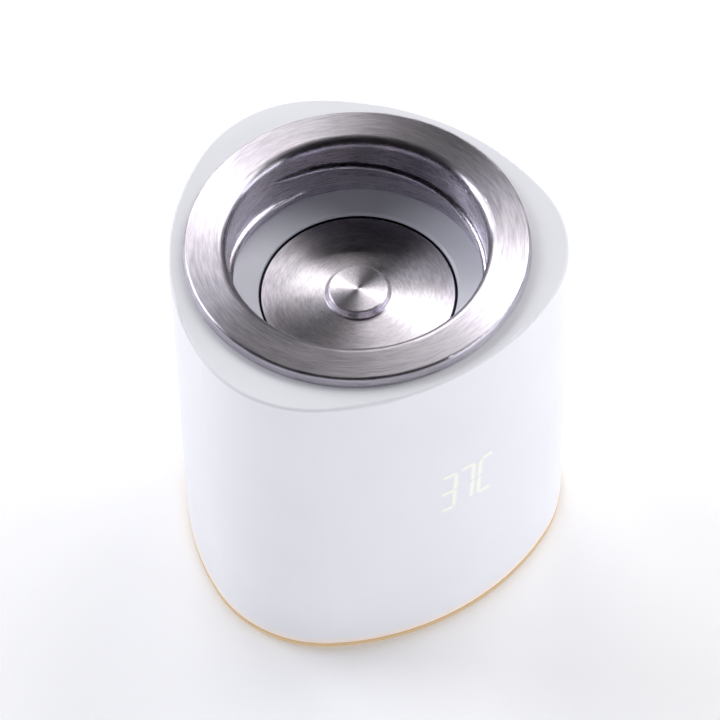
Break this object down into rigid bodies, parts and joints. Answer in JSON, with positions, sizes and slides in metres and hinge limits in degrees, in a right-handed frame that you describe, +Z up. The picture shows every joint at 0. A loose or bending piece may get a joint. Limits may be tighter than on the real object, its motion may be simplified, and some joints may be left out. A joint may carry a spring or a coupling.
{
  "type": "bottle warmer",
  "caption": "Portable baby bottle warmer: rounded-triangle casing with a threaded steel collar on top, which a bottle screws into over a heated plate.",
  "frame": {"origin": "on the collar's axis, on the surface that the warmer stands on", "axes": "+Z up along the collar's axis; the display faces -Y; the button and charging inlet face +Y"},
  "size_m": [0.0956, 0.0954, 0.0996],
  "materials": {
    "casing": "satin white moulded plastic with a fine even texture",
    "gold_trim": "satin gold plating",
    "base_plastic": "fine textured plastic",
    "foot_silicone": "matte silicone",
    "screw_steel": "zinc-plated steel",
    "collar_steel": "circular brushed stainless steel",
    "gasket": "black silicone",
    "inner_plastic": "heat-resistant glass-filled plastic",
    "seal_silicone": "pale satin food-grade silicone",
    "plate_steel": "circular brushed stainless steel with a radially brushed boss",
    "element": "fired heater film",
    "insulation": "pressed ceramic fibre",
    "nickel": "nickel strip",
    "cell_wrap": "shrink-wrapped metal can",
    "board": "lacquered circuit board",
    "black_plastic": "moulded black plastic",
    "lead": "silicone insulation",
    "button": "satin white moulded plastic",
    "light_plastic": "translucent light guide"
  },
  "bodies": {
    "warmer": {"casing": "casing", "trim_ring": "gold_trim", "base_cover": "base_plastic", "foot_pad": "foot_silicone", "base_screws": "screw_steel", "collar": "collar_steel", "collar_gasket": "gasket", "collar_nut": "inner_plastic", "seal_ring": "seal_silicone", "heater_plate": "plate_steel", "heating_element": "element", "insulation_pad": "insulation", "temperature_sensor": "nickel", "thermal_fuse": "black_plastic", "heater_tabs": "nickel", "heater_leads": "lead", "heater_cup": "inner_plastic", "cup_screws": "screw_steel", "battery_cells": "cell_wrap", "cell_holder_lower": "black_plastic", "cell_holder_upper": "black_plastic", "cell_links": "nickel", "main_board": "board", "board_parts": "black_plastic", "button_switch": "black_plastic", "inlet_shell": "nickel", "inlet_tongue": "black_plastic", "inlet_board": "board", "display_board": "board", "digit_module": "black_plastic", "display_film": "light_plastic", "display_ribbon": "light_plastic"},
    "button": {"power_button": "button", "switch_plunger": "black_plastic"}
  },
  "joints": [
    {"name": "button_press", "type": "slide", "parent": "warmer", "child": "button", "axis": [0, -1, 0], "range_m": [0, 0.0006], "stiffness_N_per_m": 900, "springref_m": -0.0005}
  ]
}
